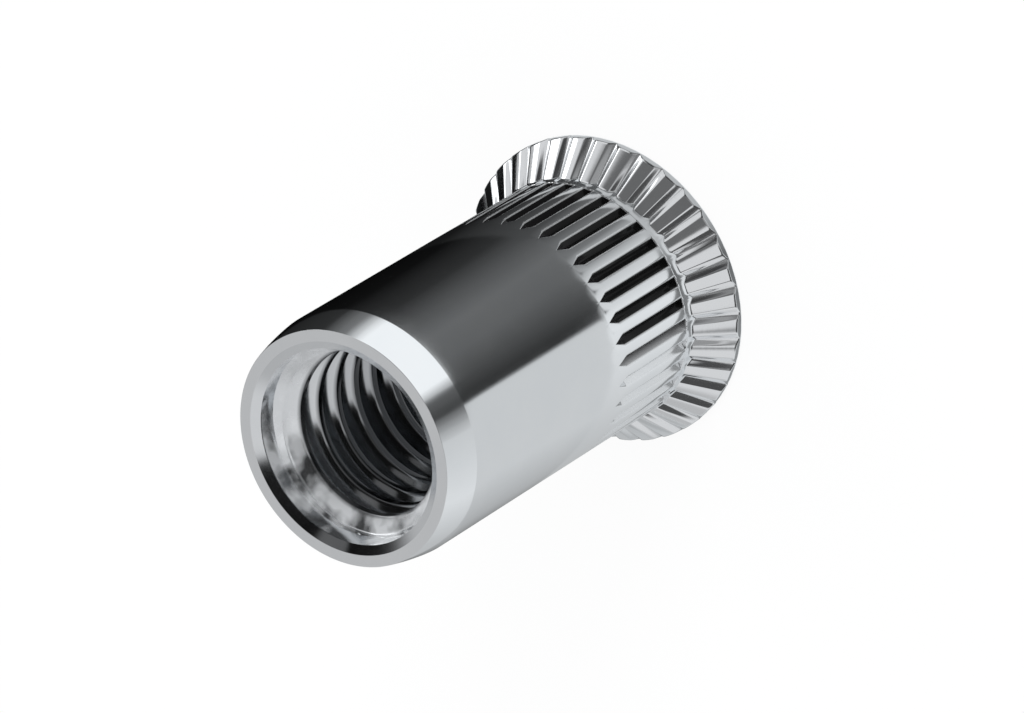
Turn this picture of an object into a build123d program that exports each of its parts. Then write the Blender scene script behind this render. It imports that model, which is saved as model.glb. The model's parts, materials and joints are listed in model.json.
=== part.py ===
from build123d import *
import os
from math import radians, tan

# Rivet nut, M10 x 1.5: a countersunk head with a serrated underside, a knurled
# cylindrical body, a threaded end and a thin-walled chamber that folds up when the
# nut is set. It is one turned and rolled piece.
# Frame: millimetres, the flat face of the head on z = 0, the axis on +Z, the
# threaded end at the top.

# Driving dimensions
overall_length = 22.7

thread_diameter = 10.0
thread_pitch = 1.5
thread_length = 12.5  # from the end face to the chamber
thread_wall = 1.45  # from the thread's major diameter to the body's surface
mouth_margin = 0.5  # how far the countersunk mouth is wider than the thread, a side
mouth_angle = 120.0  # included angle of the mouth, and of the step down to the thread
relief_margin = 0.06  # how far the plain bore behind the mouth clears the thread, a side
relief_length = 1.0  # length of that bore

head_overhang = 1.65  # how far the head stands out past the body, a side
head_angle = 90.0  # included angle of the countersunk underside
rim_height = 0.4  # cylindrical land between the underside and the flat face

lead_in_length = 2.0  # at the threaded end, which goes into the hole first
lead_in_drop = 0.35  # how far the lead-in comes in, a side
lead_in_bulge = 0.035  # how far it stands out of a straight cone

chamber_wall = 1.05  # the wall that folds up when the nut is set
chamber_step_angle = 90.0  # included angle of the step from chamber to thread
chamber_chamfer = 0.25  # at the chamber's mouth, in the head's flat face

groove_count = 36
neck_length = 0.45  # plain band between the underside and the knurl
knurl_length = 6.0
knurl_depth = 0.3
knurl_width = 0.62
knurl_runout = 0.8  # length over which a groove rises to the surface

serration_depth = 0.26  # at the neck, square to the underside
serration_width = 0.56
serration_rim_depth = 0.2  # at the rim, square to the underside
serration_rim_width = 0.74

cut_margin = 0.5  # how far a cutting tool stands out of the metal

# Sizes that follow from them
thread_radius = thread_diameter / 2
body_radius = thread_radius + thread_wall
head_radius = body_radius + head_overhang
mouth_radius = thread_radius + mouth_margin
relief_radius = thread_radius + relief_margin
nose_radius = body_radius - lead_in_drop
lead_in_bottom = overall_length - lead_in_length

cone_slope = 1 / tan(radians(head_angle / 2))  # rise of the underside over its run
cone_top = rim_height + head_overhang * cone_slope
knurl_bottom = cone_top + neck_length
knurl_top = knurl_bottom + knurl_length

# ISO 68-1: the crests of an internal thread stand in from the major diameter by
# 5/8 of the height of its sharp 60 degree profile
sharp_height = thread_pitch / 2 * tan(radians(60))
minor_radius = thread_radius - 5 / 8 * sharp_height
mouth_slope = tan(radians(mouth_angle / 2))  # run of the mouth over its depth
mouth_bottom = overall_length - (mouth_radius - relief_radius) / mouth_slope
relief_bottom = mouth_bottom - relief_length
thread_top = relief_bottom - (relief_radius - minor_radius) / mouth_slope
chamber_radius = body_radius - chamber_wall
chamber_top = overall_length - thread_length
chamber_step = (chamber_radius - minor_radius) / tan(radians(chamber_step_angle / 2))


def groove_section(plane, root, opening, depth, width):
    """Sketch a V across a groove, with its root at y = root and its open side at
    y = opening. It is width wide at depth above the root, and goes on at that slope."""
    half_open = (opening - root) * width / depth / 2
    with BuildSketch(plane) as section:
        with BuildLine():
            Polyline((0, root), (half_open, opening), (-half_open, opening), close=True)
        make_face()
    return section.sketch


def level_plane(height):
    """A level plane whose y axis points away from the nut's axis, along +X."""
    return Plane(origin=(0, 0, height), x_dir=(0, 1, 0), z_dir=(0, 0, -1))


def upright_plane(radius):
    """A plane square to +X at this radius, its y axis on +Z."""
    return Plane(origin=(radius, 0, 0), x_dir=(0, 1, 0), z_dir=(1, 0, 0))


# One groove of the body's knurl, on the +X side. It is square at the neck, and at the
# other end it rises to the surface over its run-out
knurl_stations = [
    (knurl_bottom, body_radius - knurl_depth),
    (knurl_top - knurl_runout, body_radius - knurl_depth),
    (knurl_top, body_radius),
]
with BuildPart() as knurl_groove:
    for height, root in knurl_stations:
        opening = body_radius + cut_margin
        add(groove_section(level_plane(height), root, opening, knurl_depth, knurl_width))
    loft(ruled=True)

# One serration of the head, on the +X side. It runs down the underside and gets wider
# and shallower towards the rim
upright_share = (1 + cone_slope**2) ** 0.5  # depth along +Z over depth square to it
serration_stations = [
    (body_radius, serration_depth, serration_width),
    (head_radius, serration_rim_depth, serration_rim_width),
]
with BuildPart() as serration:
    for radius, depth, width in serration_stations:
        surface = rim_height + (head_radius - radius) * cone_slope
        root = surface - depth * upright_share
        opening = surface + cut_margin
        add(groove_section(upright_plane(radius), root, opening, surface - root, width))
    loft(ruled=True)

with BuildPart() as rivet_nut:
    with BuildSketch(Plane.XZ):
        with BuildLine():
            Polyline(
                (chamber_radius + chamber_chamfer, 0),
                (head_radius, 0),
                (head_radius, rim_height),
                (body_radius, cone_top),
                (body_radius, lead_in_bottom),
            )
            SagittaArc((body_radius, lead_in_bottom), (nose_radius, overall_length), -lead_in_bulge)
            Polyline(
                (nose_radius, overall_length),
                (mouth_radius, overall_length),
                (relief_radius, mouth_bottom),
                (relief_radius, relief_bottom),
                (minor_radius, thread_top),
                (minor_radius, chamber_top),
                (chamber_radius, chamber_top - chamber_step),
                (chamber_radius, chamber_chamfer),
                (chamber_radius + chamber_chamfer, 0),
            )
        make_face()
    revolve(axis=Axis.Z)
    with PolarLocations(0, groove_count):
        add(knurl_groove.part, mode=Mode.SUBTRACT)
        add(serration.part, mode=Mode.SUBTRACT)

rivet_nut.part.label = "rivet_nut"
os.makedirs("parts", exist_ok=True)
export_step(rivet_nut.part, "parts/rivet_nut.step")
print("head", 2 * head_radius, "body", 2 * body_radius, "bore", 2 * minor_radius, "volume", rivet_nut.part.volume)
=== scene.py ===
# %% [markdown]
# # A knurled rivet nut with a countersunk head
# The nut is one small turned piece of zinc plated steel. It goes into a drilled sheet, a
# tool screws into its thread and pulls, and the thin chamber folds up behind the sheet.
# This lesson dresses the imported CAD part: it builds a finer skin with a true thread,
# gives it a plated finish, and sets a small studio round it.

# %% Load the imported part
import json
import math

import bmesh
import bpy
import numpy as np
from mathutils import Matrix, Vector


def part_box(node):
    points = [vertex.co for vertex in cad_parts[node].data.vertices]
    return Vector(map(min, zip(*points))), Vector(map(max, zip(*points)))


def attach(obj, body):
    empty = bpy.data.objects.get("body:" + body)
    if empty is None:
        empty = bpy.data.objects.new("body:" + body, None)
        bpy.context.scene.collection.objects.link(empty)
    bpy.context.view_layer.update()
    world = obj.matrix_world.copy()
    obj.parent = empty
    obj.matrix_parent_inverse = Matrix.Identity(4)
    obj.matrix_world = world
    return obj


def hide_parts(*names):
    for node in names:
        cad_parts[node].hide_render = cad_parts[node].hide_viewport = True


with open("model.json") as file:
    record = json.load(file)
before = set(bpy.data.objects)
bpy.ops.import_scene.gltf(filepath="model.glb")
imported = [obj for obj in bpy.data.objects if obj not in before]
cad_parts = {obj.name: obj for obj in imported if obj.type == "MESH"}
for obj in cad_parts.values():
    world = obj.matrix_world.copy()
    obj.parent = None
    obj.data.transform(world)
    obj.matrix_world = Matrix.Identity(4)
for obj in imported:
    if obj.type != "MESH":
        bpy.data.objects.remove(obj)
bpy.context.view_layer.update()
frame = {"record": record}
MM = 0.001


def in_mm(values, digits=2):
    """Lengths in metres as rounded millimetres, to print."""
    return [round(value / MM, digits) for value in values]


# %% [markdown]
# ## Sizes
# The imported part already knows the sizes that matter. The box gives the height and the
# head, and the record's mounts give the body, the bore through the thread and the
# chamber. They could be typed in again, but then the skin would stay behind when the
# part changes. The rest are a maker's usual sizes for this nut, named once.

# %% Sizes from the part
low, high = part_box("rivet_nut")
height = high.z - low.z
head_radius = (high.x - low.x) / 2
mount_dims = {mount["name"]: mount["dims"] for mount in frame["record"]["mounts"]}
body_radius = mount_dims["shank"]["r_mm"] * MM
crest_radius = mount_dims["thread"]["r_mm"] * MM
chamber_radius = mount_dims["chamber"]["r_mm"] * MM
print("height and head, mm:", in_mm((height, head_radius)))
print("body, bore and chamber, mm:", in_mm((body_radius, crest_radius, chamber_radius)))

# %% Sizes of the turned shape
rim_height = 0.4 * MM  # plain land under the head's serrated cone
neck_length = 0.45 * MM  # plain band between the cone and the knurl
knurl_length = 6.0 * MM
knurl_runout = 0.8 * MM  # length over which a groove rises to the surface
lead_in_length = 2.0 * MM
lead_in_drop = 0.35 * MM  # how far the lead-in comes in, a side
lead_in_bulge = 0.035 * MM
edge_break = 0.03 * MM  # how far a corner is rounded

cone_run = head_radius - body_radius
cone_top = rim_height + cone_run
knurl_bottom = cone_top + neck_length
knurl_top = knurl_bottom + knurl_length
lead_in_bottom = height - lead_in_length
nose_radius = body_radius - lead_in_drop
print("heights of cone, knurl, lead-in, mm:", in_mm((cone_top, knurl_bottom, knurl_top, lead_in_bottom)))

# %% [markdown]
# ## The camera
# The nut would roll if it lay on its side, so the part stands on its head. The camera
# looks down at it from a little over half way up, and is turned on its own axis, so
# that the nut seems to lie with its threaded end to the lower left. The part could be
# tilted instead, but it has to stay where it is packed. A long lens from over a third
# of a metre away gives the flat perspective of a product picture.

# %% Place the camera
camera_azimuth = math.radians(4.2)
camera_elevation = math.radians(48.296)
camera_turn = math.radians(-121.61)
camera_distance = 371.1 * MM
aim_height = 8.82 * MM
aim_aside = 0.476 * MM

# Level directions from the nut: to the camera, and square to it, which is to the lower
# right in the picture. The light is set up along them.
level_front = Vector((math.sin(camera_azimuth), -math.cos(camera_azimuth), 0))
level_side = Vector((-math.cos(camera_azimuth), -math.sin(camera_azimuth), 0))
toward_camera = level_front * math.cos(camera_elevation) + Vector((0, 0, math.sin(camera_elevation)))
aim = Vector((0, 0, low.z + aim_height)) + level_side * aim_aside

camera = bpy.data.objects.new("camera", bpy.data.cameras.new("camera"))
bpy.context.scene.collection.objects.link(camera)
camera.data.lens = 264.6
camera.data.sensor_width = 36
camera.data.clip_start = 0.01
camera.data.clip_end = 5
camera.location = aim + toward_camera * camera_distance
camera.rotation_mode = "QUATERNION"
facing = toward_camera.to_track_quat("Z", "Y")
camera.rotation_quaternion = facing @ Matrix.Rotation(camera_turn, 3, "Z").to_quaternion()
bpy.context.scene.camera = camera
print("camera at, mm:", in_mm(camera.location, 1))

# %% [markdown]
# ## How the skin is made
# The grooves could be cut out of a plain turned shape with booleans, but those leave
# long thin faces that shine unevenly. Here the outside is a stack of rings. Each ring
# has the same number of points, and rings one above the other are joined by quads. A
# ring may lie in a groove, so every ring is worked out from one rule for the groove's
# section. Columns of points sit close together at a groove's root and edges, and far
# apart on the plain land between grooves.

# %% Columns across one groove
groove_count = 36
period = 2 * math.pi / groove_count
# Places and roundings are in half widths of the groove, from its root. The middle of
# the land, where two grooves meet, is nan here: its place depends on the half width.
root_round = 0.10
edge_round = 0.15
steps = np.array([0.12, 0.35, 0.68, 0.9, 1.04, 1.2])
across = np.concatenate(([0.0], steps, [np.nan], steps[::-1]))
is_next_groove = np.arange(len(across)) > len(steps) + 1


def groove_share(half_widths):
    """Depth of a V groove as a share of its full depth, this many half widths from its
    middle. Its root and its two edges are a little round."""
    from_root = 1 - np.sqrt(half_widths**2 + root_round**2)
    return (from_root + np.sqrt(from_root**2 + edge_round**2)) / 2


def columns(half_angle):
    """Angle of every column of a ring, and its groove share, for a groove that is this
    wide to each side."""
    half_widths = np.where(np.isnan(across), period / 2 / half_angle, across)
    inside = half_widths * half_angle
    inside = np.where(is_next_groove, period - inside, inside)
    starts = np.arange(groove_count) * period
    angles = (starts[:, None] + inside[None, :]).ravel()
    return angles, np.tile(groove_share(half_widths), groove_count)


knurl_width = 0.62 * MM
knurl_half_angle = knurl_width / 2 / body_radius
print("points in an outer ring:", len(columns(knurl_half_angle)[0]))

# %% A store for points and faces
points = []
# How much painted shade lies at each point: by groove depth outside, on the crests in the bore
painted_shade = []
faces = []


def add_points(angles, radii, heights, painted_dark=0.0):
    """Adds points given by angle, radius, height and how much painted shade lies there,
    and returns their numbers."""
    start = len(points)
    radii = np.broadcast_to(radii, angles.shape)
    heights = np.broadcast_to(heights, angles.shape)
    points.extend(zip(radii * np.cos(angles), radii * np.sin(angles), low.z + heights))
    painted_shade.extend(np.broadcast_to(painted_dark, angles.shape))
    return np.arange(start, len(points))


# %% Helpers that join rings
def join_rings(lower, upper):
    """Quads between two rings with the same number of points, facing outwards."""
    faces.extend(zip(lower, np.roll(lower, -1), np.roll(upper, -1), upper))


def zip_rings(inner, inner_angles, outer, outer_angles, facing_up):
    """Triangles between two rings with different numbers of points."""
    i = j = 0
    while i < len(inner) or j < len(outer):
        next_inner = inner_angles[i] if i < len(inner) else math.inf
        next_outer = outer_angles[j] if j < len(outer) else math.inf
        last_inner = inner[i % len(inner) - 1]
        last_outer = outer[j % len(outer) - 1]
        if next_inner <= next_outer:
            triangle = (last_inner, last_outer, inner[i])
            i += 1
        else:
            triangle = (last_inner, last_outer, outer[j])
            j += 1
        faces.append(triangle if facing_up else triangle[::-1])


# %% The outer rings
outer_rings = []


def add_ring(half_angle, radius, height, depth_in=0.0, depth_down=0.0, painted_dark=0.0):
    """One outer ring. The groove takes depth_in off its radius or depth_down off its
    height, and holds this much painted shade at its root."""
    angles, share = columns(half_angle)
    radii = radius - depth_in * share
    heights = height - depth_down * share
    outer_rings.append(add_points(angles, radii, heights, painted_dark * share))


# %% [markdown]
# ## The head
# The underside of the head is a 90 degree cone with 36 pressed serrations, which bite
# into the sheet so that the nut can't turn. Each serration is narrow and deep at the
# neck, and wide and shallow at the rim, where it leaves a scalloped edge over a thin
# plain land. A bevel could round the corners, but it makes a mess where a groove cuts
# through one. So each corner is three rings of its own, with one more ring close by
# on the flat, which stops the smooth shading of the corner from spreading.

# %% Width and depth of the serrations
width_at_neck = 0.56 * MM
width_at_rim = 0.74 * MM
depth_at_neck = 0.26 * MM
depth_at_rim = 0.2 * MM
# Painted shade at the roots of the serrations
serration_shade = 0.06
upright_share = math.sqrt(2)  # depth along Z over depth square to the cone


def serration_at(radius):
    """Half angle and upright depth of a serration at this radius."""
    share = (radius - body_radius) / cone_run
    width = width_at_neck + (width_at_rim - width_at_neck) * share
    depth = depth_at_neck + (depth_at_rim - depth_at_neck) * share
    return width / 2 / radius, depth * upright_share


rim_half_angle, rim_cut = serration_at(head_radius)
print("upright depth of a serration at the rim, mm:", in_mm([rim_cut]))

# %% Rings of the head
# At a corner, how far in and how far up or down each ring lies, in edge breaks
lower_corner = ((1.8, 0), (1, 0), (0.3, 0.3), (0, 1), (0, 1.8))
upper_corner = ((0, 1.8), (0, 1), (0.3, 0.3))
for inset, lift in lower_corner:
    add_ring(rim_half_angle, head_radius - inset * edge_break, lift * edge_break)
for inset, drop in upper_corner:
    corner_height = rim_height - drop * edge_break
    add_ring(rim_half_angle, head_radius - inset * edge_break, corner_height, depth_down=rim_cut)

for share in np.concatenate(([0.02, 0.045], np.linspace(0.12, 0.88, 6), [0.955, 0.98])):
    radius = head_radius - cone_run * share
    half_angle, cut = serration_at(radius)
    add_ring(half_angle, radius, rim_height + cone_run * share, depth_down=cut, painted_dark=serration_shade)

half_angle, cut = serration_at(body_radius)
add_ring(half_angle, body_radius + 0.3 * edge_break, cone_top, depth_down=cut, painted_dark=serration_shade)
add_ring(half_angle, body_radius, cone_top + edge_break, depth_down=cut, painted_dark=serration_shade)
print("rings of the head:", len(outer_rings))

# %% [markdown]
# ## The knurl
# Straight V grooves are rolled into the wall of the chamber. They stop square at the
# neck, and at the other end the tool lifts out, so each groove gets narrower and
# shallower until it is gone. Its columns come closer together with it, which draws the
# pointed end with few points. The grooves are painted dark as shade, darkest at the
# root, so each point keeps how deep it lies in its groove.

# %% Rings of the knurl
knurl_depth = 0.3 * MM
runout_shade = 2.5  # painted shade over depth in the run-out, where it stays full at first
# At the square end, how far up each ring lies, in edge breaks, and its share of the depth
square_end = ((-2.5, 0), (-0.5, 0), (0, 0.08), (0.35, 0.92), (1, 1), (2.5, 1))
for lift, share in square_end:
    ring_height = knurl_bottom + lift * edge_break
    add_ring(knurl_half_angle, body_radius, ring_height, knurl_depth * share, painted_dark=share)
for ring_height in np.linspace(knurl_bottom + 10 * edge_break, knurl_top - knurl_runout, 5):
    add_ring(knurl_half_angle, body_radius, ring_height, knurl_depth, painted_dark=1.0)
for share in (0.88, 0.74, 0.6, 0.46, 0.34, 0.23, 0.14, 0.07, 0.02):
    ring_height = knurl_top - knurl_runout * share
    painted_dark = min(1.0, runout_shade * share)
    add_ring(knurl_half_angle * share, body_radius, ring_height, knurl_depth * share, painted_dark=painted_dark)
print("rings with the knurl:", len(outer_rings))

# %% [markdown]
# ## The plain body and the lead-in
# Above the knurl the body is a plain cylinder. The last two millimetres lean in a
# little, so that the nut finds its hole, and they meet the body at a faint crease. The
# lead-in could be a straight cone, but that would reflect as one flat tone. So it
# bulges by a hair, and its reflection is a soft crescent.

# %% Rings of the body and the lead-in
fan_out = 0.6 * MM  # height in which the columns go back to their places
for share in (0.2, 0.5, 0.8, 1.0):
    add_ring(knurl_half_angle * share, body_radius, knurl_top + fan_out * share)
for ring_height in np.linspace(knurl_top + 2 * fan_out, lead_in_bottom - edge_break, 9):
    add_ring(knurl_half_angle, body_radius, ring_height)

# The corner at the end face is smaller, with rings close by on both sides of it
nose_break = 0.4 * edge_break
last_shares = 1 - np.array([2.5, 1.0]) * nose_break / lead_in_length
for share in np.concatenate((np.linspace(0.02, 0.97, 10), last_shares)):
    bulge = 4 * lead_in_bulge * share * (1 - share)
    radius = body_radius - lead_in_drop * share + bulge
    add_ring(knurl_half_angle, radius, lead_in_bottom + lead_in_length * share)
for inset, drop in ((0.3, 0.3), (1.0, 0.0), (2.5, 0.0)):
    add_ring(knurl_half_angle, nose_radius - inset * nose_break, height - drop * nose_break)

for lower, upper in zip(outer_rings, outer_rings[1:]):
    join_rings(lower, upper)
print("outer rings:", len(outer_rings), "faces:", len(faces))

# %% [markdown]
# ## The thread
# A thread is a groove that climbs as it goes round. Blender's screw modifier could
# sweep it, but the mouth and the chamber's step would then have to be cut out of it.
# Here its rows of points climb with the thread, so crests, flanks and roots stay
# clean. The profile is the usual metric one: a crest a quarter of the pitch wide, 60
# degree flanks and a root an eighth of the pitch wide. The mouth, the relief behind it
# and the step to the chamber cut through the thread, so at each place the widest of
# these surfaces is the one that is there.

# %% Thread profile
thread_pitch = 1.5 * MM
thread_phase = 0.304  # turns by which the thread starts later
# Half widths of crest and root, in pitches
crest_half = 1 / 8
root_half = 1 / 16
corner_round = 0.002
flank_rise = 5 / 16 * thread_pitch * math.tan(math.radians(60))
root_radius = crest_radius + flank_rise


def thread_radius(turns):
    """Radius of the thread's surface where the helix has climbed this many turns.
    Crests are at whole numbers."""
    from_crest = np.abs((turns + 0.5) % 1 - 0.5)
    share = (from_crest - crest_half) / (0.5 - root_half - crest_half)
    rise = (share + np.sqrt(share**2 + corner_round)) / 2
    rise = 1 - ((1 - rise) + np.sqrt((1 - rise) ** 2 + corner_round)) / 2
    return crest_radius + flank_rise * np.clip(rise, 0, 1)


print("radius of the thread's crest and root, mm:", in_mm((crest_radius, root_radius), 3))

# %% Mouth, relief and step
thread_length = 12.5 * MM  # from the end face to the chamber
mouth_margin = 0.5 * MM  # how far the mouth is wider than the thread, a side
mouth_slope = math.tan(math.radians(60))  # run of the mouth over its depth
relief_margin = 0.06 * MM  # how far the relief clears the thread, a side
relief_length = 1.0 * MM
mouth_radius = root_radius + mouth_margin
relief_radius = root_radius + relief_margin
mouth_bottom = height - (mouth_radius - relief_radius) / mouth_slope
relief_bottom = mouth_bottom - relief_length
thread_bottom = height - thread_length
helix_bottom = thread_bottom - flank_rise - 0.02 * MM  # just below the last of the helix


def cut_radius(heights):
    """Radius of the mouth's cone, the relief or the chamber's step at these heights."""
    mouth = mouth_radius - (height - heights) * mouth_slope
    relief = relief_radius - np.maximum(relief_bottom - heights, 0) * mouth_slope
    step = crest_radius + (thread_bottom - heights)
    return np.maximum(np.maximum(mouth, relief), step)


print("bottom of mouth, relief, thread, mm:", in_mm((mouth_bottom, relief_bottom, thread_bottom)))

# %% [markdown]
# Some edges don't climb with the rows: the mouth's and the relief's, and the line in
# which a cone cuts the thread. In each column the nearest row is moved onto such an
# edge, or both rows beside it where the edge passes from one row to the next. This
# keeps these edges crisp.

# %% Rows of the thread
# Parts of a turn at which the rows lie, close together at the profile's corners
row_steps = np.array([0, 0.06, 0.11, 0.14, 0.19, 0.25, 0.31, 0.37, 0.42, 0.455])
rows_in_turn = np.concatenate((row_steps, [0.5], 1 - row_steps[:0:-1]))
rows_per_turn = len(rows_in_turn)
first_turn = math.floor(helix_bottom / thread_pitch) - 2
last_turn = math.ceil(height / thread_pitch) + 1
row_turns = np.concatenate([turn + rows_in_turn for turn in range(first_turn, last_turn)])
turn_columns = 180
inner_angles = np.arange(turn_columns) * 2 * math.pi / turn_columns
climb = thread_pitch / turn_columns
print("rows:", len(row_turns), "climb from column to column, mm:", in_mm([climb], 4))


# %% Columns of the thread
def edges_in_column(heights, lead):
    """Heights of the edges that a column crosses, from low to high. lead is how far the
    thread's surface lies outside the cuts' at each row, so a cut ends where it is 0."""
    edges = [mouth_bottom, relief_bottom]
    for i in np.nonzero(np.diff(np.sign(lead)))[0]:
        share = lead[i] / (lead[i] - lead[i + 1])
        edges.append(heights[i] + share * (heights[i + 1] - heights[i]))
    return sorted(edges)


def column_of_thread(angle):
    """Heights and radii of one column of the thread, bottom to top."""
    start = angle / (2 * math.pi) + thread_phase
    heights = (row_turns + start) * thread_pitch
    lead = thread_radius(row_turns) - cut_radius(heights)
    moved = heights.copy()
    free = 0  # the first row that no edge has taken yet
    for edge in edges_in_column(heights, lead):
        above = max(np.searchsorted(heights, edge), free + 1)
        gap = (heights[above] - edge) - (edge - heights[above - 1])
        if gap > -climb and above - 1 >= free:
            moved[above - 1] = edge
            free = above
        if gap < climb:
            moved[above] = edge
            free = above + 1
    turned = thread_radius(moved / thread_pitch - start)
    return moved, np.maximum(turned, cut_radius(moved))


# %% Points of the thread
# In the bore the same value marks where the crests are painted darker, as shade
touching = 0.001 * MM  # two heights closer than this are the same
crest_band = 0.15 * flank_rise  # how far it reaches down a crest's flank
helix_low_ring = add_points(inner_angles, cut_radius(helix_bottom), helix_bottom)
helix_top_ring = add_points(inner_angles, mouth_radius, height)
helix = np.zeros((turn_columns, len(row_turns)), int)
for column, angle in enumerate(inner_angles):
    heights, radii = column_of_thread(angle)
    inside = (heights > helix_bottom + touching) & (heights < height - touching)
    numbers = np.where(heights <= helix_bottom + touching, helix_low_ring[column], helix_top_ring[column])
    on_crest = 1 - np.clip((radii[inside] - crest_radius) / crest_band, 0, 1)
    numbers[inside] = add_points(np.full(inside.sum(), angle), radii[inside], heights[inside], on_crest)
    helix[column] = numbers
print("points with the thread:", len(points))

# %% Faces of the thread
# Past the last column comes the first again, one turn further up
first_again = np.concatenate((helix[0][rows_per_turn:], np.full(rows_per_turn, helix_top_ring[0])))
for here, there in zip(helix, [*helix[1:], first_again]):
    for corners in zip(here[:-1], here[1:], there[1:], there[:-1]):
        corners = tuple(dict.fromkeys(corners))
        if len(corners) > 2:
            faces.append(corners)
print("faces with the thread:", len(faces))

# %% [markdown]
# ## The chamber and the two ends
# Below the thread the bore opens to the thin-walled chamber, which runs out through
# the head. It is plain, so a few rings are enough. Flat faces close the threaded end
# and the head. Their inner and outer rings have different numbers of points, so they
# are zipped with triangles, which lie flat and can't be seen.

# %% Chamber and end faces
chamber_chamfer = 0.25 * MM
step_bottom = thread_bottom - (chamber_radius - crest_radius)
chamber_profile = (
    (chamber_radius - edge_break, step_bottom + edge_break),
    (chamber_radius, step_bottom - edge_break),
    (chamber_radius, step_bottom / 2),
    (chamber_radius, chamber_chamfer),
    (chamber_radius + chamber_chamfer, 0.0),
)
chamber_rings = [helix_low_ring]
for radius, ring_height in chamber_profile:
    chamber_rings.append(add_points(inner_angles, radius, ring_height))
for upper, lower in zip(chamber_rings, chamber_rings[1:]):
    join_rings(upper, lower)
zip_rings(helix_top_ring, inner_angles, outer_rings[-1], columns(knurl_half_angle)[0], True)
zip_rings(chamber_rings[-1], inner_angles, outer_rings[0], columns(rim_half_angle)[0], False)
print("faces in all:", len(faces), "points:", len(points))

# %% Helper for new objects
def add_mesh(name, points, faces):
    """A new object in the scene with this mesh."""
    mesh = bpy.data.meshes.new(name)
    mesh.from_pydata([tuple(map(float, p)) for p in points], [], [tuple(map(int, f)) for f in faces])
    thing = bpy.data.objects.new(name, mesh)
    bpy.context.scene.collection.objects.link(thing)
    return thing


# %% Make the mesh
sharp_angle = math.radians(28)  # an edge that turns by more than this stays crisp
nut = add_mesh("rivet_nut_skin", points, faces)
nut_mesh = nut.data
shape = bmesh.new()
shape.from_mesh(nut_mesh)
bmesh.ops.recalc_face_normals(shape, faces=shape.faces)
open_edges = [edge for edge in shape.edges if not edge.is_manifold]
triangles = sum(len(face.verts) - 2 for face in shape.faces)
skin_volume = shape.calc_volume()
shape.to_mesh(nut_mesh)
shape.free()
nut_mesh.shade_smooth()
nut_mesh.set_sharp_from_angle(angle=sharp_angle)
# The painted shade goes on the mesh as a point attribute
shade_of_points = nut_mesh.attributes.new("painted_shade", "FLOAT", "POINT")
shade_of_points.data.foreach_set("value", np.array(painted_shade, dtype=np.float32))
print("open edges:", len(open_edges), "triangles:", triangles)
print("volume, mm3:", round(skin_volume / MM**3, 1))

# %% [markdown]
# ## The plated finish
# Bright zinc is a thin, slightly bluish metal layer. It is nearly a mirror, with a
# very fine grain, faint marks of the turning tool going round the axis, and small
# dull blotches. They could be painted on an image, but an image would have to be
# unwrapped onto every groove. Here nodes make all of them from the part's own
# coordinates, so the finish stays on the metal when the camera moves.

# %% Node helpers
def add_node(tree, kind, inputs=(), **settings):
    """Adds a node, makes its settings, and sets or links its inputs by name or number.
    Colours are written without their alpha."""
    node = tree.nodes.new(kind)
    for name, value in settings.items():
        setattr(node, name, value)
    for name, value in dict(inputs).items():
        socket = node.inputs[name]
        if isinstance(value, bpy.types.NodeSocket):
            tree.links.new(value, socket)
        elif socket.type == "RGBA":
            socket.default_value = (*value, 1)
        else:
            socket.default_value = value
    return node


def new_material(name):
    """An empty node material and its tree."""
    material = bpy.data.materials.new(name)
    material.use_nodes = True
    material.node_tree.nodes.clear()
    return material, material.node_tree


# %% Helpers for values, colours and noise
def math_node(tree, operation, *values):
    """The result of a math node on these values or sockets."""
    return add_node(tree, "ShaderNodeMath", dict(enumerate(values)), operation=operation).outputs[0]


def even_step(tree, value, start, end, first=0.0, last=1.0):
    """first before start and last past end, with an even rise between. start may be the
    larger, which turns it round."""
    ends = {"Value": value, "From Min": start, "From Max": end, "To Min": first, "To Max": last}
    return add_node(tree, "ShaderNodeMapRange", ends).outputs[0]


def blend_colours(tree, share, first, second):
    """A colour that goes from first to second with share."""
    return add_node(tree, "ShaderNodeMix", {0: share, 6: first, 7: second}, data_type="RGBA").outputs[2]


def noise(tree, place, scale, detail, roughness=0.5):
    """A cloudy pattern between 0 and 1. scale is in clouds to the metre."""
    inputs = {"Vector": place, "Scale": scale, "Detail": detail, "Roughness": roughness}
    return add_node(tree, "ShaderNodeTexNoise", inputs).outputs["Fac"]


# %% Bright zinc
blotches_per_metre = 420.0
grains_per_metre = 5200.0
turning_stretch = (300.0, 300.0, 9000.0)  # marks to the metre across the axis and along it
blotch_range = (0.3, 0.7)  # between these values of its pattern lies most of a blotch


def zinc_material(name):
    """A new material for plated metal, its tree, the place on the part, and the pattern
    of its blotches."""
    material, tree = new_material(name)
    place = add_node(tree, "ShaderNodeTexCoord").outputs["Object"]
    return material, tree, place, noise(tree, place, blotches_per_metre, 3.0, 0.55)


def bright_zinc(tree, place, blotches, tints, dull, grain_height):
    """Adds zinc plate between two tints. dull is its lowest and highest roughness, and
    grain_height is in metres. Gives the shader and the colour of the clean plate."""
    grain = noise(tree, place, grains_per_metre, 2.0)
    stretched = add_node(tree, "ShaderNodeVectorMath", {0: place, 1: turning_stretch}, operation="MULTIPLY")
    turning = noise(tree, stretched.outputs[0], 1.0, 2.0)
    relief = math_node(tree, "ADD", grain, turning)
    bump = add_node(tree, "ShaderNodeBump", {"Height": relief, "Distance": grain_height, "Strength": 1.0})
    plate = blend_colours(tree, blotches, *tints)
    shader = add_node(tree, "ShaderNodeBsdfPrincipled", {
        "Base Color": plate,
        "Roughness": even_step(tree, blotches, *blotch_range, *dull),
        "Normal": bump.outputs[0],
        "Metallic": 1.0,
    })
    add_node(tree, "ShaderNodeOutputMaterial", {"Surface": shader.outputs[0]})
    return shader, plate
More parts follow.
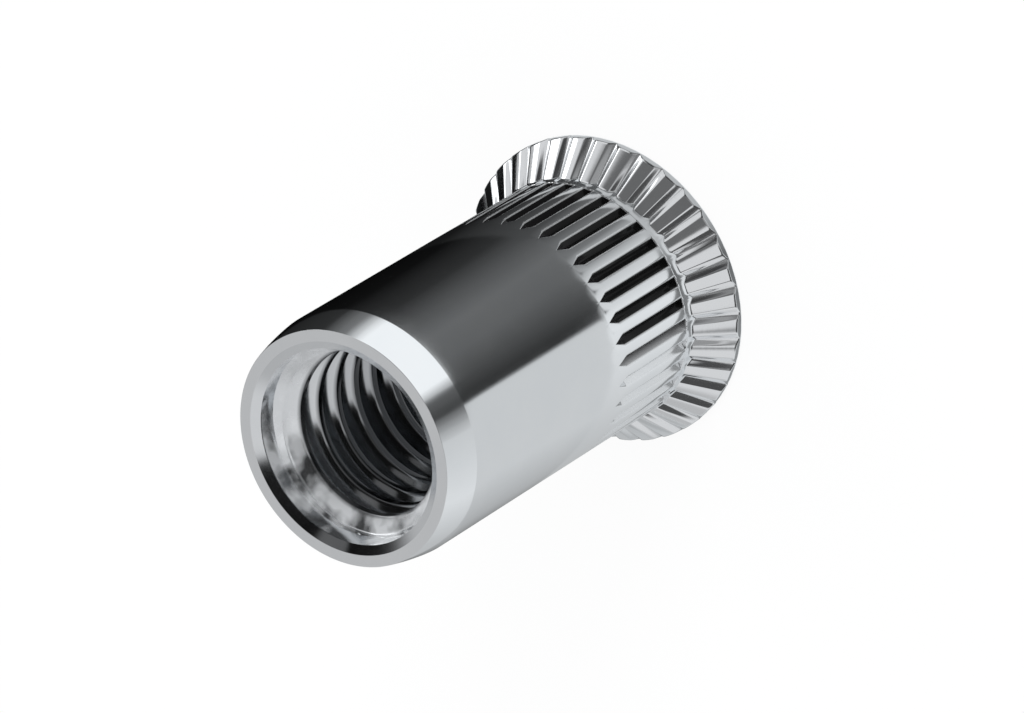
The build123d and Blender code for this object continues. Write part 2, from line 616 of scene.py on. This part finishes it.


# %% [markdown]
# ## Painted shade in the grooves
# The grooves are painted with a black shade, not a metal, so there the colour darkens
# and the metal fades out. It could be a separate dark mesh, but it is only a tone. The
# points of the skin already say how deep they lie in a groove, and that attribute steers
# it. On the -X side the painted shade fades, a painted lighter reflection.

# %% Finish of the outside
outer_tints = ((0.85, 0.87, 0.89), (0.91, 0.92, 0.93))
outer_dull = (0.06, 0.11)
outer_grain = 0.0003 * MM
# The painted shade in the grooves is black and not a metal
shade_black = (0.005, 0.005, 0.005)
shade_shine = 0.1
shade_starts = (0.03, 0.25)  # share of the groove's depth where the painted shade starts and is full
sheen_side = (-0.62 * body_radius, -0.46 * body_radius)  # X where the painted shade fades out, a soft edge: a painted lighter reflection on the -X side
shade_on_sheen_side = 0.12  # how much painted shade is left there

outer_zinc, tree, place, blotches = zinc_material("bright_zinc_outside")
shader, plate = bright_zinc(tree, place, blotches, outer_tints, outer_dull, outer_grain)
# How deep a point lies in a groove steers the painted shade
in_groove = add_node(tree, "ShaderNodeAttribute", attribute_name="painted_shade").outputs["Fac"]
x_of_place = add_node(tree, "ShaderNodeSeparateXYZ", {0: place}).outputs["X"]
# Less painted shade on the -X side: a painted lighter reflection there
shade_kept = even_step(tree, x_of_place, *sheen_side, shade_on_sheen_side, 1.0)
painted_dark = math_node(tree, "MULTIPLY", even_step(tree, in_groove, *shade_starts), shade_kept)
tree.links.new(blend_colours(tree, painted_dark, plate, shade_black), shader.inputs["Base Color"])
tree.links.new(math_node(tree, "SUBTRACT", 1.0, painted_dark), shader.inputs["Metallic"])
shader.inputs["Specular IOR Level"].default_value = shade_shine
print(outer_zinc.name, "has", len(tree.nodes), "nodes")

# %% [markdown]
# ## The plate in the bore
# The plate is painted greyer deeper in the bore, as shade. The crests of the thread
# are painted darker still, as shade, and behind the mouth lies a dull, patchy band.
# One material for the whole nut would need a mask for all of this, so the bore has its
# own. The skin's attribute tells it where the crests are.

# %% Finish of the bore
inner_tints = ((0.72, 0.74, 0.76), (0.84, 0.855, 0.87))
inner_dull = (0.08, 0.16)
inner_grain = 0.0004 * MM
# Greys of the painted shade deep in the bore and on the crests
deep_shade_tint = (0.42, 0.435, 0.45)
crest_shade_tint = (0.09, 0.093, 0.097)
# Depths below the end face between which the plate darkens with painted shade, and the
# dull band comes and goes, and the range of the blotches over which its patches go from
# clean to dull
darkening = (2.5 * MM, 9.0 * MM)
band_comes = (0.27 * MM, 0.35 * MM)
band_goes = (3.2 * MM, 1.6 * MM)
patch_range = (0.43, 0.6)
patch_dullness = (0.06, 0.72)

inner_zinc, tree, place, blotches = zinc_material("bright_zinc_in_the_bore")
shader, plate = bright_zinc(tree, place, blotches, inner_tints, inner_dull, inner_grain)
z_of_place = add_node(tree, "ShaderNodeSeparateXYZ", {0: place}).outputs["Z"]
below_end = math_node(tree, "SUBTRACT", high.z, z_of_place)
on_crest = add_node(tree, "ShaderNodeAttribute", attribute_name="painted_shade").outputs["Fac"]
# Deeper in the bore the plate is painted greyer, as shade
shaded = blend_colours(tree, even_step(tree, below_end, *darkening), plate, deep_shade_tint)
# The crests are painted darker still, as shade
tree.links.new(blend_colours(tree, on_crest, shaded, crest_shade_tint), shader.inputs["Base Color"])
below_mouth = even_step(tree, below_end, *band_comes)
above_thread = even_step(tree, below_end, *band_goes)
dull_band = math_node(tree, "MULTIPLY", below_mouth, above_thread)
patches = even_step(tree, blotches, *patch_range, *patch_dullness)
dullness = math_node(tree, "MULTIPLY", dull_band, patches)
tree.links.new(math_node(tree, "SUBTRACT", 1.0, dullness), shader.inputs["Metallic"])
print(inner_zinc.name, "has", len(tree.nodes), "nodes")

# %% Give each face its material
nut_mesh.materials.append(outer_zinc)
nut_mesh.materials.append(inner_zinc)
for face in nut_mesh.polygons:
    x, y, z = face.center
    between_ends = touching < z - low.z < height - touching
    face.material_index = int(between_ends and math.hypot(x, y) < mouth_radius)
print("faces in the bore:", sum(face.material_index for face in nut_mesh.polygons))

# %% Ride on the part
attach(nut, "root")
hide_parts("rivet_nut")
print(nut.name, "rides on the root and takes the place of the plain solid")

# %% [markdown]
# ## The floor
# The floor is plain and white. Brighter lamps could make it so, but they would burn
# out the metal. So, seen by the camera or in the metal, it is mostly its own white,
# and the rest is lit by the studio, which keeps a soft shadow under the nut.

# %% Helper for rays
def seen_rays(tree, *kinds):
    """A value that is 1 for rays of these kinds and 0 for others."""
    path = add_node(tree, "ShaderNodeLightPath")
    total = path.outputs[kinds[0]]
    for kind in kinds[1:]:
        total = math_node(tree, "MAXIMUM", total, path.outputs[kind])
    return total


# %% Floor
floor_reach = 1200 * MM
own_white = 0.88
square = ((-1, -1), (1, -1), (1, 1), (-1, 1))
floor = add_mesh("floor", [(x * floor_reach, y * floor_reach, low.z) for x, y in square], [(0, 1, 2, 3)])
floor_white, tree = new_material("floor_white")
seen = seen_rays(tree, "Is Camera Ray", "Is Glossy Ray", "Is Transmission Ray")
share = math_node(tree, "MULTIPLY", seen, own_white)
matt = add_node(tree, "ShaderNodeBsdfDiffuse", {"Color": (0.93, 0.93, 0.93)})
glow = add_node(tree, "ShaderNodeEmission", {"Color": (1, 1, 1), "Strength": 1.0})
both = add_node(tree, "ShaderNodeMixShader", {0: share, 1: matt.outputs[0], 2: glow.outputs[0]})
add_node(tree, "ShaderNodeOutputMaterial", {"Surface": both.outputs[0]})
floor.data.materials.append(floor_white)
print("floor, m across:", 2 * floor_reach)

# %% [markdown]
# ## The table in the metal
# Polished metal shows what stands round it. In a studio, black and grey cards are laid
# round it, outside what the lens sees, to draw its shape with dark and light bands.
# Many small planes could lie here too, but all their edges would be hard. So the cards
# are one flat ring that only the metal sees. Each part of the nut's side sees its own
# zone of the ring: the knurl the nearest, the plain body the next, and the lead-in the
# farthest. In each zone the grey changes with the direction.

# %% Helpers for soft edges and directions
def soft_step(tree, value, start, end):
    """0 before start and 1 past end, with a smooth rise between. start may be the
    larger, which turns it round."""
    ends = {"Value": value, "From Min": start, "From Max": end}
    return add_node(tree, "ShaderNodeMapRange", ends, interpolation_type="SMOOTHSTEP").outputs[0]


def blend(tree, share, first, second):
    """A value that goes from first to second with share."""
    return add_node(tree, "ShaderNodeMix", {0: share, 2: first, 3: second}, data_type="FLOAT").outputs[0]


def along(tree, vector, axis):
    """How far a vector goes along this axis."""
    inputs = {0: vector, 1: tuple(axis)}
    return add_node(tree, "ShaderNodeVectorMath", inputs, operation="DOT_PRODUCT").outputs["Value"]


# %% Helper for the tones round the table
def tones_round(tree, turn, stops):
    """A grey that changes with the turn, which is 0 to 1 for -180 to 180 degrees. Each
    stop is a turn in degrees and the grey there."""
    ramp = add_node(tree, "ShaderNodeValToRGB", {"Fac": turn})
    elements = ramp.color_ramp.elements
    for i, (degrees, tone) in enumerate(stops):
        at = degrees / 360 + 0.5
        element = elements[i] if i < 2 else elements.new(at)
        element.position = at
        element.color = (tone, tone, tone, 1)
    return ramp.outputs["Color"]


# %% Tones of the table
# Turns are counted from level_front towards level_side
rim_tones = ((-180, 0.2), (-60, 0.6), (0, 0.5), (20, 0.15), (60, 0.3))
knurl_tones = (
    (-180, 0.0), (-120, 0.01), (-60, 0.07), (-25, 0.2), (0, 0.65), (30, 0.85), (100, 0.6), (180, 0.35),
)
body_tones = (
    (-180, 0.0), (-110, 0.005), (-75, 0.03), (-35, 0.15), (-15, 0.13), (15, 0.04), (20, 0.04),
    (23, 0.65), (85, 0.65), (125, 0.45), (150, 0.24),
)
far_tones = (
    (-180, 0.0), (-100, 0.03), (-80, 0.2), (-65, 1.0), (-3, 1.0), (6, 0.12), (18, 0.06),
    (38, 0.65), (85, 0.8), (125, 0.55), (180, 0.45),
)
# Each zone is its start, the distance from the axis where it is full, and its tones
zones = (
    (8.75 * MM, 8.95 * MM, knurl_tones),
    (13.4 * MM, 13.9 * MM, body_tones),
    (27.2 * MM, 28.2 * MM, far_tones),
)
print("zones of the table start at, mm:", in_mm([start for start, full, tones in zones]))

# %% The table
table_hole = head_radius + 0.05 * MM
table_reach = 400 * MM
table_height = low.z + 0.02 * MM
table_sides = 72
table_turns = np.arange(table_sides) * 2 * math.pi / table_sides
rings = []
for radius in (table_hole, table_reach):
    rings.extend((radius * math.cos(turn), radius * math.sin(turn), table_height) for turn in table_turns)
inner_ring = np.arange(table_sides)
outer_ring = inner_ring + table_sides
quads = zip(inner_ring, np.roll(inner_ring, -1), np.roll(outer_ring, -1), outer_ring)
table = add_mesh("table", rings, quads)
for ray in ("camera", "diffuse", "transmission", "volume_scatter", "shadow"):
    setattr(table, "visible_" + ray, False)
print("table, mm:", in_mm((table_hole, table_reach)))

# %% Greys of the table
turn_centre = level_side * (-1.2 * MM)  # the tones turn about this point beside the axis
table_grey, tree = new_material("table_grey")
place = add_node(tree, "ShaderNodeTexCoord").outputs["Object"]
from_centre = add_node(tree, "ShaderNodeVectorMath", {0: place, 1: tuple(turn_centre)}, operation="SUBTRACT")
to_side = along(tree, from_centre.outputs[0], level_side)
to_front = along(tree, from_centre.outputs[0], level_front)
turn = math_node(tree, "ARCTAN2", to_side, to_front)
turn = math_node(tree, "MULTIPLY_ADD", turn, 1 / (2 * math.pi), 0.5)
away = add_node(tree, "ShaderNodeVectorMath", {0: place}, operation="LENGTH").outputs["Value"]
tone = tones_round(tree, turn, rim_tones)
for start, full, tones in zones:
    tone = blend(tree, soft_step(tree, away, start, full), tone, tones_round(tree, turn, tones))
card_face = add_node(tree, "ShaderNodeEmission", {"Color": (0.96, 0.985, 1.0), "Strength": tone})
add_node(tree, "ShaderNodeOutputMaterial", {"Surface": card_face.outputs[0]})
table.data.materials.append(table_grey)
print(table_grey.name, "has", len(tree.nodes), "nodes")

# %% [markdown]
# ## The studio light
# The room is a plain white light. It could be a lit box with walls, but the world
# gives the same light with no mesh, and with less noise. The metal also sees the
# room's darker parts: the grey wall up and to the left, a black curtain behind the
# camera's left shoulder that reaches over the nut and has one dim window, a dim front
# and a dark corner low on the right.

# %% Helpers for the world
def studio_direction(side, front, up):
    """A unit vector from its parts along level_side, along level_front, and up."""
    return (level_side * side + level_front * front + Vector((0, 0, up))).normalized()


def hang_card(tree, level, tone, *edges):
    """The level of light with a card of this tone in it. Each edge is a value that
    changes over the room, and where the card's soft edge starts and ends on it."""
    share = 1.0
    for value, start, end in edges:
        share = math_node(tree, "MULTIPLY", share, soft_step(tree, value, start, end))
    return blend(tree, share, level, tone)


# %% Directions in the world
world = bpy.data.worlds.new("studio")
bpy.context.scene.world = world
world.use_nodes = True
tree = world.node_tree
tree.nodes.clear()
direction = add_node(tree, "ShaderNodeTexCoord").outputs["Generated"]
side = along(tree, direction, level_side)
front = along(tree, direction, level_front)
up = along(tree, direction, (0, 0, 1))
print("axes of the world's cards:", [round(x, 3) for x in (*level_side, *level_front)])

# %% Walls and front of the room
front_level = 0.72
back_level = 0.52
wall_tone = 0.14
corner_tone = 0.07
low_tone = 0.32
low_left_tone = 0.05
level = blend(tree, soft_step(tree, front, -0.2, -0.45), front_level, back_level)
level = hang_card(tree, level, wall_tone, (side, 0.12, 0.02), (up, 0.38, 0.5), (front, -0.4, -0.1))
level = hang_card(tree, level, corner_tone, (side, 0.1, 0.28), (up, 0.52, 0.44), (front, 0.15, 0.3))
low_tones = blend(tree, soft_step(tree, side, -0.15, -0.55), low_tone, low_left_tone)
level = hang_card(tree, level, low_tones, (front, 0.38, 0.58), (up, 0.5, 0.42), (side, 0.16, 0.08))
print("the room has", len(tree.nodes), "nodes")

# %% The curtain and its window
# The curtain is a wide band of the sky at a set angle from an axis of its own
curtain_axis = studio_direction(-0.047, 0.552, -0.833)
curtain_middle = -0.637
curtain_tone = 0.004
window_axis = studio_direction(-0.6, -0.03, 0.8)
window_tone = 0.12
from_middle = math_node(tree, "SUBTRACT", along(tree, direction, curtain_axis), curtain_middle)
off_curtain = math_node(tree, "ABSOLUTE", from_middle)
curtain_edges = ((off_curtain, 0.26, 0.19), (side, 0.34, 0.24), (up, 0.24, 0.5))
level = hang_card(tree, level, curtain_tone, *curtain_edges)
level = hang_card(tree, level, window_tone, (along(tree, direction, window_axis), 0.982, 0.993))
print("curtain from its axis, degrees:", round(math.degrees(math.acos(curtain_middle))))

# %% Light the world
strength = blend(tree, seen_rays(tree, "Is Glossy Ray"), 1.0, level)
room = add_node(tree, "ShaderNodeBackground", {"Color": (0.985, 0.99, 1), "Strength": strength})
add_node(tree, "ShaderNodeOutputWorld", {"Surface": room.outputs[0]})
print("the world has", len(tree.nodes), "nodes")

# %% [markdown]
# ## The lamps
# A white room alone leaves plated metal flat. One soft lamp at the left shows as a
# bright stripe down the side. The other stands in front and throws the soft shadow. It
# could show in the metal too, but it would put a white square on the bands there, so
# the metal doesn't see it.

# %% Lamps
lamp_size = 160 * MM


def soft_lamp(name, where, level):
    """A square lamp aimed at the nut. level is how bright its face is, 1 being white."""
    data = bpy.data.lights.new(name, "AREA")
    data.shape = "SQUARE"
    data.size = lamp_size
    data.energy = level * math.pi * lamp_size**2
    lamp = bpy.data.objects.new(name, data)
    bpy.context.scene.collection.objects.link(lamp)
    lamp.location = where
    lamp.rotation_mode = "QUATERNION"
    lamp.rotation_quaternion = (where - aim).to_track_quat("Z", "Y")
    return lamp


side_lamp = soft_lamp("side_lamp", studio_direction(-0.915, -0.332, 0.227) * 400 * MM, level=1.4)
front_lamp = soft_lamp("front_lamp", studio_direction(-0.5, 0.6, 0.6) * 450 * MM, level=6.0)
front_lamp.visible_glossy = False
print("lamp energy, W:", round(side_lamp.data.energy, 4), round(front_lamp.data.energy, 4))

# %% Colour
bpy.context.scene.view_settings.view_transform = "Standard"
